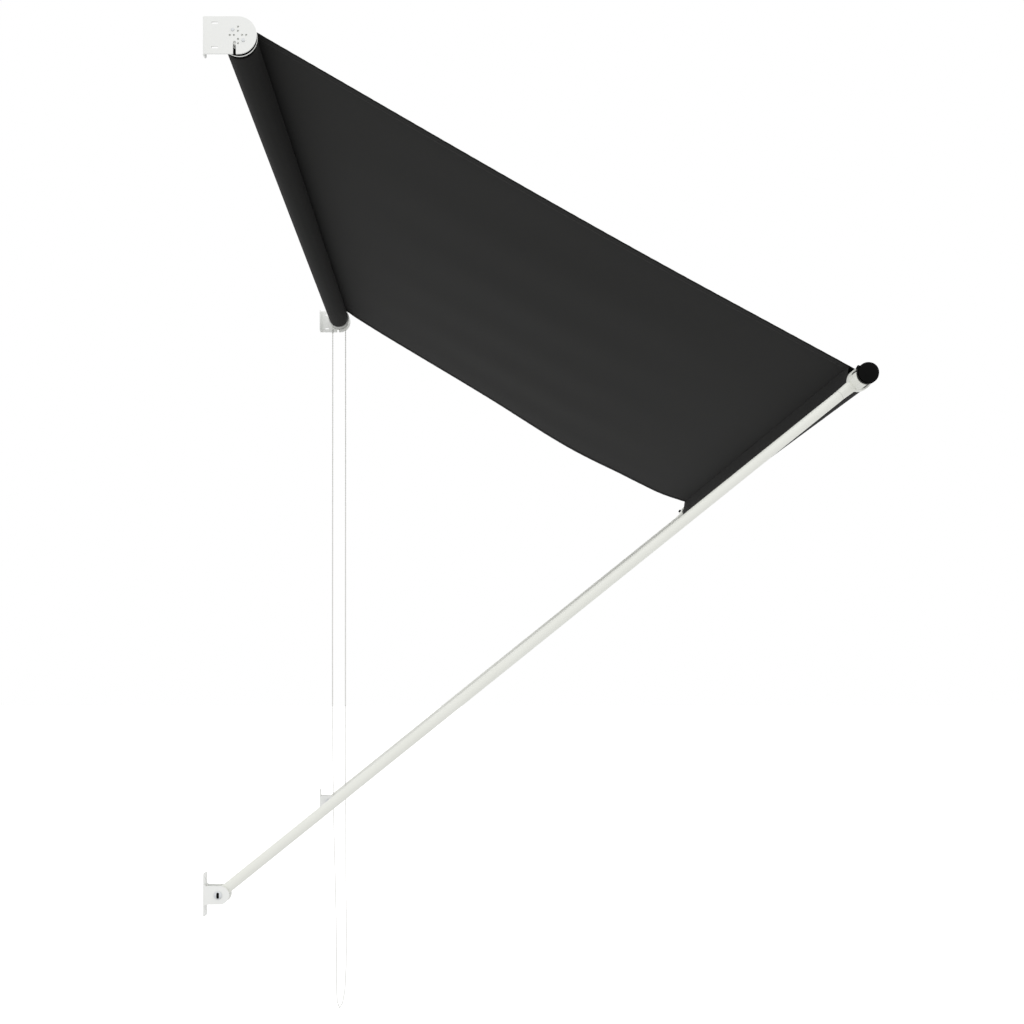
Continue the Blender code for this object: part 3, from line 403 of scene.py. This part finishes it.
def startTree(name, sizes):
    tree = bpy.data.node_groups.new(name, "GeometryNodeTree")
    tree.interface.new_socket("Path", in_out="INPUT", socket_type="NodeSocketGeometry")
    for label in sizes:
        tree.interface.new_socket(label, in_out="INPUT", socket_type="NodeSocketFloat")
    tree.interface.new_socket("Geometry", in_out="OUTPUT", socket_type="NodeSocketGeometry")
    given = tree.nodes.new("NodeGroupInput")
    return tree, {s.name: s for s in given.outputs if s.name}


def endTree(tree, made):
    final = tree.nodes.new("NodeGroupOutput")
    tree.links.new(made, final.inputs[0])


def meshFromTree(name, carrier, tree, sizes):
    modifier = carrier.modifiers.new("tree", "NODES")
    modifier.node_group = tree
    for item in tree.interface.items_tree:
        if item.item_type == "SOCKET" and item.in_out == "INPUT" and item.name in sizes:
            modifier[item.identifier] = sizes[item.name]
    bpy.context.view_layer.update()
    graph = bpy.context.evaluated_depsgraph_get()
    mesh = bpy.data.meshes.new_from_object(carrier.evaluated_get(graph), depsgraph=graph)
    mesh.name = name
    bpy.data.objects.remove(carrier)
    return mesh


def pathObject(name, lines):
    curve = bpy.data.curves.new(name, "CURVE")
    curve.dimensions = "3D"
    for points in lines:
        spline = curve.splines.new("POLY")
        spline.points.add(len(points) - 1)
        spline.points.foreach_set("co", [c for p in points for c in (*p, 1)])
    carrier = bpy.data.objects.new(name, curve)
    bpy.context.scene.collection.objects.link(carrier)
    return carrier


chain = {
    "beadPitch": 0.006,
    "beadRadius": 0.00225,
    "cordRadius": 0.0006,
    "step": 0.2,            # most between two points of the route
    "wheelSteps": 12,
    "inset": 0.0355,
    "axisOut": 0.071,
    "wheelRadius": 0.0229,
    "rightFace": 1.988,
    "connectorTop": -0.0372,
    # outward offset from the roller's axis, and height
    "back": [
        (-0.0229, -0.0509), (-0.0229, -0.12), (-0.0231, -0.35), (-0.0233, -0.70), (-0.0236, -1.05),
        (-0.0236, -1.36), (-0.0220, -1.62), (-0.0184, -1.84), (-0.0142, -1.99), (-0.0112, -2.12),
        (-0.0095, -2.26), (-0.0092, -2.38), (-0.0072, -2.435),
    ],
    "bottom": [(0.0015, -2.4600), (0.0125, -2.441)],
    "front": [
        (0.0205, -2.395), (0.0250, -2.31), (0.0258, -2.18), (0.0240, -2.00), (0.0236, -1.80),
        (0.0221, -1.58), (0.0224, -1.36), (0.0226, -1.05), (0.0228, -0.70), (0.0229, -0.35),
        (0.0229, -0.12), (0.0229, -0.02),
    ],
}


def smoothRoute(route, step):
    points = [Vector(p) for p in route]
    points = [2 * points[0] - points[1]] + points + [2 * points[-1] - points[-2]]
    out = []
    for a, b, c, d in zip(points, points[1:], points[2:], points[3:]):
        count = max(1, math.ceil((c - b).length / step))
        for i in range(count):
            t = i / count
            bend = 2 * a - 5 * b + 4 * c - d
            twist = 3 * b - a - 3 * c + d
            out.append(0.5 * (2 * b + (c - a) * t + bend * t * t + twist * t ** 3))
    return out + [points[-2]]


def beadChainTree():
    tree, given = startTree("bead chain", ["Bead pitch", "Bead radius", "Cord radius"])
    spots = addNode(tree, "GeometryNodeCurveToPoints", {0: given["Path"], "Length": given["Bead pitch"]},
                    mode="LENGTH")
    bead = addNode(tree, "GeometryNodeMeshUVSphere", {"Radius": given["Bead radius"]},
                   {"Segments": 10, "Rings": 6})
    beads = addNode(tree, "GeometryNodeInstanceOnPoints",
                    {"Points": spots.outputs[0], "Instance": bead.outputs[0], "Rotation": spots.outputs[3]})
    loose = addNode(tree, "GeometryNodeRealizeInstances", {0: beads.outputs[0]})
    white = addNode(tree, "GeometryNodeSetMaterial", {0: loose.outputs[0]},
                    {"Material": finishes["chain_plastic"]})
    ring = addNode(tree, "GeometryNodeCurvePrimitiveCircle", {"Radius": given["Cord radius"]},
                   {"Resolution": 6})
    cord = addNode(tree, "GeometryNodeCurveToMesh", {0: given["Path"], 1: ring.outputs[0]},
                   {"Fill Caps": True})
    braid = addNode(tree, "GeometryNodeSetMaterial", {0: cord.outputs[0]}, {"Material": cordFinish})
    both = addNode(tree, "GeometryNodeJoinGeometry", {0: white.outputs[0]})
    tree.links.new(braid.outputs[0], both.inputs[0])
    smooth = addNode(tree, "GeometryNodeSetShadeSmooth", {0: both.outputs[0]})
    endTree(tree, smooth.outputs[0])
    return tree


def makeChain():
    radius = chain["wheelRadius"]
    turns = [i * math.pi / chain["wheelSteps"] for i in range(chain["wheelSteps"] + 1)]
    over = [(radius * math.cos(t), radius * math.sin(t)) for t in turns]
    flat = chain["back"] + chain["bottom"] + chain["front"] + over
    flat += [(-radius, chain["connectorTop"])]
    x = chain["rightFace"] - chain["inset"]
    path = smoothRoute([(x, -chain["axisOut"] - out, height) for out, height in flat], chain["step"])
    sizes = {
        "Bead pitch": chain["beadPitch"],
        "Bead radius": chain["beadRadius"],
        "Cord radius": chain["cordRadius"],
    }
    mesh = meshFromTree("beadChain", pathObject("chainPath", [path]), beadChainTree(), sizes)
    piece = place("beadChain", mesh, "wall_parts")
    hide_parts("chain")


makeChain()


cloth = {
    "thickness": 0.0010,
    "hemWidth": 0.024,       # folded side hems
    "hemExtra": 0.0010,      # their second layer, on the underside
    "rows": 110,
    "columns": 60,
    "wrapAngle": 38,         # how far the sheet runs on round the roll, in degrees
    "wrapRows": 8,
    "wrapSink": 0.0022,      # into the top turn, at the end of that run
    "wrapLength": 0.022,
    "onRoll": 0.0013,        # middle of the sheet above the roll, where it leaves it
    "onBar": 0.0011,         # middle of the sheet above the bar
    "settle": 0.05,          # run in which the sag begins
    "pocketDepth": 0.030,    # bar axis to the seam
    "closedSwing": 46.9,
    "arm": (0.031, 1.721, 1.652, 51.2),  # pivot out and drop, arm length, angle from the vertical
    # drop below the straight line, in mm, against distance from the roll in m
    "leftSag": [(0, 0), (0.20, 2.2), (0.45, 4.6), (0.75, 6.0), (1.0, 5.2), (1.2, 2.6), (1.378, 0)],
    "rightSag": [
        (0, 1.0), (0.16, 8.5), (0.33, 13.6), (0.50, 18.4), (0.64, 23.5), (0.76, 30.0), (0.86, 34.8),
        (0.95, 36.2), (1.04, 33.0), (1.13, 27.0), (1.22, 22.6), (1.31, 16.0), (1.36, 7.0), (1.393, 0),
    ],
    "rightReach": 1.7,       # a larger power keeps the right side's sag nearer its edge
    "middleSag": 9.0,
    "foldHeight": 1.1,
    "foldCount": 5.5,
    "foldDrift": 2.2,
    "pucker": 0.00018,       # gathers along the side hems
    "puckerLength": 0.021,
    "puckerReach": 0.02,
}

rollLow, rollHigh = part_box("cloth_roll")
barLow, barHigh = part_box("front_bar")
rollAxis = Vector((0, (rollLow.y + rollHigh.y) / 2, (rollLow.z + rollHigh.z) / 2))
barAxis = Vector((0, (barLow.y + barHigh.y) / 2, (barLow.z + barHigh.z) / 2))
clothLeft, clothRight = rollLow.x, rollHigh.x
clothWidth = clothRight - clothLeft
rollRadius = (rollHigh.z - rollLow.z) / 2
topRadius = rollRadius + cloth["onRoll"]
barRadius = (barHigh.z - barLow.z) / 2
pocketRadius = barRadius + cloth["onBar"]


def clothFrame():
    # the taut line touches both the roll and the bar pocket from above
    across = barAxis - rollAxis
    slope = math.atan2(-across.z, -across.y) + math.asin((topRadius - pocketRadius) / across.length)
    along = Vector((0, -math.cos(slope), -math.sin(slope)))
    up = Vector((0, -math.sin(slope), math.cos(slope)))
    return along, up, rollAxis + up * topRadius, barAxis + up * pocketRadius - along * cloth["pocketDepth"]


along, up, sheetTop, sheetEnd = clothFrame()
sheetLength = (sheetEnd - sheetTop).length


def smoothed(profile, where):
    # monotone cubic through the given points
    xs = np.array([p[0] for p in profile])
    ys = np.array([p[1] for p in profile])
    slopes = np.gradient(ys, xs)
    where = np.clip(where, xs[0], xs[-1])
    i = np.clip(np.searchsorted(xs, where, side="right") - 1, 0, len(xs) - 2)
    h = xs[i + 1] - xs[i]
    t = (where - xs[i]) / h
    return ((2 * t ** 3 - 3 * t ** 2 + 1) * ys[i] + (t ** 3 - 2 * t ** 2 + t) * h * slopes[i]
            + (3 * t ** 2 - 2 * t ** 3) * ys[i + 1] + (t ** 3 - t ** 2) * h * slopes[i + 1])


def dropAt(x, run):
    # how far the cloth hangs below its straight line, in metres
    side = (x - clothLeft) / clothWidth
    share = np.clip(run / sheetLength, 0, 1)
    left = smoothed(cloth["leftSag"], run)
    right = smoothed(cloth["rightSag"], run)
    weight = side ** cloth["rightReach"]
    belly = cloth["middleSag"] * np.sin(np.pi * side) * np.sin(np.pi * share)
    # shallow folds that run down from the roll and die out at both ends
    wave = np.sin(2 * np.pi * side * cloth["foldCount"] + cloth["foldDrift"] * share)
    folds = cloth["foldHeight"] * wave * np.sin(np.pi * share) ** 2
    return ((1 - weight) * left + weight * right + belly + folds) / 1000


def canopySection():
    # positions across the width, with the half thickness above and below the sheet's middle
    t = cloth["thickness"] / 2
    extra = cloth["hemExtra"]
    hem = cloth["hemWidth"]
    left = [(0.0, 0.0, 0.0), (0.0002, t * 0.7, (t + extra) * 0.7)]
    left += [(x, t, t + extra) for x in (0.0007, 0.006, 0.012, 0.018, hem - 0.0004)]
    left += [(hem, t, t + extra * 0.6), (hem + 0.0001, t, t)]
    count = cloth["columns"]
    middle = [(hem + (clothWidth - 2 * hem) * i / count, t, t) for i in range(1, count)]
    return left + middle + [(clothWidth - x, a, b) for x, a, b in reversed(left)]


def canopyRows(x):
    # for each row: a point on the sheet's middle, its normal, its distance from the roll and its drop
    rows = []
    wrap = math.radians(cloth["wrapAngle"])
    for k in range(cloth["wrapRows"], 0, -1):  # round the roll, sinking into its top turn
        share = k / cloth["wrapRows"]
        turn = wrap * share
        radial = up * math.cos(turn) - along * math.sin(turn)
        centre = rollAxis + radial * (topRadius - cloth["wrapSink"] * share ** 2)
        rows.append((centre, radial, -topRadius * turn, x * 0))
    base = dropAt(x, 0.0)
    for run in np.linspace(0, sheetLength, cloth["rows"] + 1):
        settle = min(1.0, run / cloth["settle"])
        drop = dropAt(x, run) - base * (1 - settle)
        rows.append((sheetTop + along * run, up, run, drop * settle))
    return rows


def makeCanopy():
    section = canopySection()
    x, above, below = (np.array(column) for column in zip(*section))
    x = x + clothLeft
    circuit = list(range(len(x))) + list(range(len(x) - 2, 0, -1))
    edge = np.exp(-np.minimum(x - clothLeft, clothRight - x) / cloth["puckerReach"])
    rows = canopyRows(x)
    bm = bmesh.new()
    rings = []
    for centre, normal, run, drop in rows:
        lift = -drop + cloth["pucker"] * np.sin(run * 2 * np.pi / cloth["puckerLength"]) * edge
        ring = []
        for j in circuit:
            upper = len(ring) < len(x)
            point = centre + normal * float(lift[j] + (above[j] if upper else -below[j]))
            ring.append(bm.verts.new((x[j], point.y, point.z)))
        rings.append(ring)
    skin(bm, rings, uvAt=lambda k, r: (x[circuit[k]], rows[r][2]))
    return place("canopySheet", meshOf("canopySheet", bm, 60), "front_bar", [finishes["cloth"]])


pocket = {
    "arcSteps": 56,
    "slack": 0.0006,
    "seamGap": 0.0002,
    "endInset": 0.012,
    "endEdge": 0.0004,
    "stations": 48,
    "rucks": [(0.00025, 47, 0), (0.0002, 131, 1)],  # height, waves in radians per m, and phase
}


def pocketLine():
    # the sheet's middle as (along, up) about the bar's axis: over it, round it and back to the seam
    depth, radius = cloth["pocketDepth"], pocketRadius
    tail = (-depth, radius - cloth["thickness"])
    top = math.pi / 2
    touch = math.atan2(tail[1], tail[0]) + math.acos(radius / math.hypot(*tail))
    swept = touch - 2 * math.pi - top
    line = [(-depth + pocket["seamGap"], radius), (-depth * 0.7, radius), (-depth * 0.35, radius)]
    for i in range(pocket["arcSteps"] + 1):
        turn = top + swept * i / pocket["arcSteps"]
        line.append((radius * math.cos(turn), radius * math.sin(turn)))
    last = line[-1]
    for share in (0.25, 0.5, 0.75, 0.97):
        slack = -pocket["slack"] * math.sin(math.pi * share)
        line.append((last[0] + (tail[0] - last[0]) * share, last[1] + (tail[1] - last[1]) * share + slack))
    return np.array(line)


def makePocket():
    line = pocketLine()
    step = np.gradient(line, axis=0)
    lengths = np.linalg.norm(step, axis=1)[:, None]
    side = np.stack([-step[:, 1], step[:, 0]], 1) / lengths * cloth["thickness"] / 2
    if side[0][1] < 0:
        side = -side
    run = sheetLength + np.concatenate([[0], np.cumsum(np.linalg.norm(np.diff(line, axis=0), axis=1))])
    loopLine = np.concatenate([line + side, (line - side)[::-1]])
    loopRun = np.concatenate([run, run[::-1]])
    inset, edge = pocket["endInset"], pocket["endEdge"]
    stations = [0, edge, *np.linspace(inset, clothWidth - inset, pocket["stations"])]
    stations += [clothWidth - edge, clothWidth]
    bm = bmesh.new()
    rings = []
    for s in stations:
        ruck = sum(height * math.sin(s * waves + phase) for height, waves, phase in pocket["rucks"])
        ring = []
        for a, u in loopLine:
            spot = barAxis + along * a + up * (u - ruck * max(0.0, -u) / pocketRadius)
            ring.append(bm.verts.new((clothLeft + s, spot.y, spot.z)))
        rings.append(ring)
    skin(bm, rings, uvAt=lambda k, r: (clothLeft + stations[r], loopRun[k]))
    piece = place("barPocket", meshOf("barPocket", bm, 50), "front_bar", [finishes["cloth"]])
    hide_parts("hem_sleeve")


roll = {
    "layers": 8,            # turns of cloth that show at the ends
    "depth": 0.0055,
    "endStagger": 0.0011,
    "bevelIn": 0.0003,
    "bevelOut": 0.0001,
    "groove": 0.00022,
    "bodyInset": 0.004,
    "stations": 60,
    "segments": 96,
    "seed": 7,
    "ripple": 0.00012,
    "beat": 0.0001,
}


def rollEnds():
    # each layer as (inset, radius) points, pushed in a little at random, for both ends
    rng = np.random.default_rng(roll["seed"])
    inner = rollRadius - roll["depth"]
    ends = []
    for _ in ("left", "right"):
        steps = []
        for k in range(roll["layers"]):
            low = inner + roll["depth"] * k / roll["layers"]
            high = inner + roll["depth"] * (k + 1) / roll["layers"]
            shift = rng.uniform(0, roll["endStagger"]) if k < roll["layers"] - 1 else 0
            deep = shift + roll["bevelIn"]
            steps += [(deep, low + roll["bevelOut"]), (shift, low + roll["groove"]),
                      (shift, high - roll["groove"]), (deep, high - roll["bevelOut"])]
        ends.append(steps)
    return ends


def makeRoll():
    ends = rollEnds()
    inset = roll["bodyInset"]
    profile = [(clothLeft + s, r) for s, r in ends[0]]
    profile += [(x, rollRadius) for x in np.linspace(clothLeft + inset, clothRight - inset, roll["stations"])]
    profile += [(clothRight - s, r) for s, r in reversed(ends[1])]
    bm = bmesh.new()
    rings = ringsAbout(bm, profile, roll["segments"], rollAxis.y, rollAxis.z)
    for i, ring in enumerate(rings):
        turn = 2 * math.pi * i / roll["segments"]
        outward = Vector((0, math.cos(turn), math.sin(turn)))
        for (x, r), vert in zip(profile, ring):
            if r > rollRadius - roll["bevelIn"]:
                vert.co += outward * (roll["ripple"] * math.sin(5 * turn + 3 * x)
                                      + roll["beat"] * math.sin(11 * turn + 1.3))
    skin(bm, rings, around=True,
         uvAt=lambda k, r: (sum(profile[k]), r * 2 * math.pi * rollRadius / roll["segments"]))
    piece = place("clothRoll", meshOf("clothRoll", bm, 45), "roller", [finishes["cloth"]])
    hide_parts("cloth_roll")


canopyPiece = makeCanopy()
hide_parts("canopy")
makePocket()
makeRoll()
print("cloth sewn")


stitch = {
    "pitch": 0.0050,
    "length": 0.0036,
    "radius": 0.00045,
    "fromEdge": 0.004,             # from the hem's inner edge
    "seamLines": (0.003, 0.009),   # two rows, from the pocket's seam
    "seamInset": 0.003,
    "ends": (0.010, 0.002),        # bare cloth at the roll and at the pocket
    "points": 90,
}


def stitchTree():
    tree, given = startTree("lockstitch", ["Pitch", "Length", "Radius"])
    spots = addNode(tree, "GeometryNodeCurveToPoints", {0: given["Path"], "Length": given["Pitch"]},
                    mode="LENGTH")
    bead = addNode(tree, "GeometryNodeMeshUVSphere", None, {"Segments": 6, "Rings": 4, "Radius": 1.0})
    half = addNode(tree, "ShaderNodeMath", {0: given["Length"]}, {1: 0.5}, operation="MULTIPLY")
    shape = addNode(tree, "ShaderNodeCombineXYZ",
                    {0: given["Radius"], 1: given["Radius"], 2: half.outputs[0]})
    laid = addNode(tree, "GeometryNodeInstanceOnPoints",
                   {"Points": spots.outputs[0], "Instance": bead.outputs[0], "Rotation": spots.outputs[3],
                    "Scale": shape.outputs[0]})
    real = addNode(tree, "GeometryNodeRealizeInstances", {0: laid.outputs[0]})
    smooth = addNode(tree, "GeometryNodeSetShadeSmooth", {0: real.outputs[0]})
    sewn = addNode(tree, "GeometryNodeSetMaterial", {0: smooth.outputs[0]}, {"Material": threadFinish})
    endTree(tree, sewn.outputs[0])
    return tree


def onSheet(x, run, upper, extra):
    drop = float(dropAt(np.array([x]), run)[0]) * min(1.0, run / cloth["settle"])
    t = cloth["thickness"] / 2 + extra
    return sheetTop + along * run + up * (-drop + (t if upper else -t)) + Vector((x, 0, 0))


def sewn(name, lines, tree):
    sizes = {"Pitch": stitch["pitch"], "Length": stitch["length"], "Radius": stitch["radius"]}
    mesh = meshFromTree(name, pathObject(name + "Path", lines), tree, sizes)
    return place(name, mesh, "front_bar")


def makeStitches():
    inset = cloth["hemWidth"] - stitch["fromEdge"]
    start, end = stitch["ends"]
    hemLines = []
    for x in (clothLeft + inset, clothRight - inset):
        for upper, extra in ((True, 0.0), (False, cloth["hemExtra"])):
            runs = np.linspace(start, sheetLength - end, stitch["points"])
            hemLines.append([onSheet(x, run, upper, extra) for run in runs])
    seamLines = []
    t = cloth["thickness"] / 2
    low, high = clothLeft + stitch["seamInset"], clothRight - stitch["seamInset"]
    for inward in stitch["seamLines"]:
        # the lower layer falls away from the upper one at about 45 degrees
        for height in (pocketRadius + t, pocketRadius - 3 * t - inward):
            spot = barAxis + up * height - along * (cloth["pocketDepth"] - inward)
            seamLines.append([Vector((x, spot.y, spot.z)) for x in np.linspace(low, high, stitch["points"])])
    tree = stitchTree()
    return sewn("hemStitches", hemLines, tree), sewn("seamStitches", seamLines, tree)


hemStitches, seamStitches = makeStitches()


def gatherCanopy():
    for piece in (canopyPiece, hemStitches):
        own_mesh(piece)


gatherCanopy()
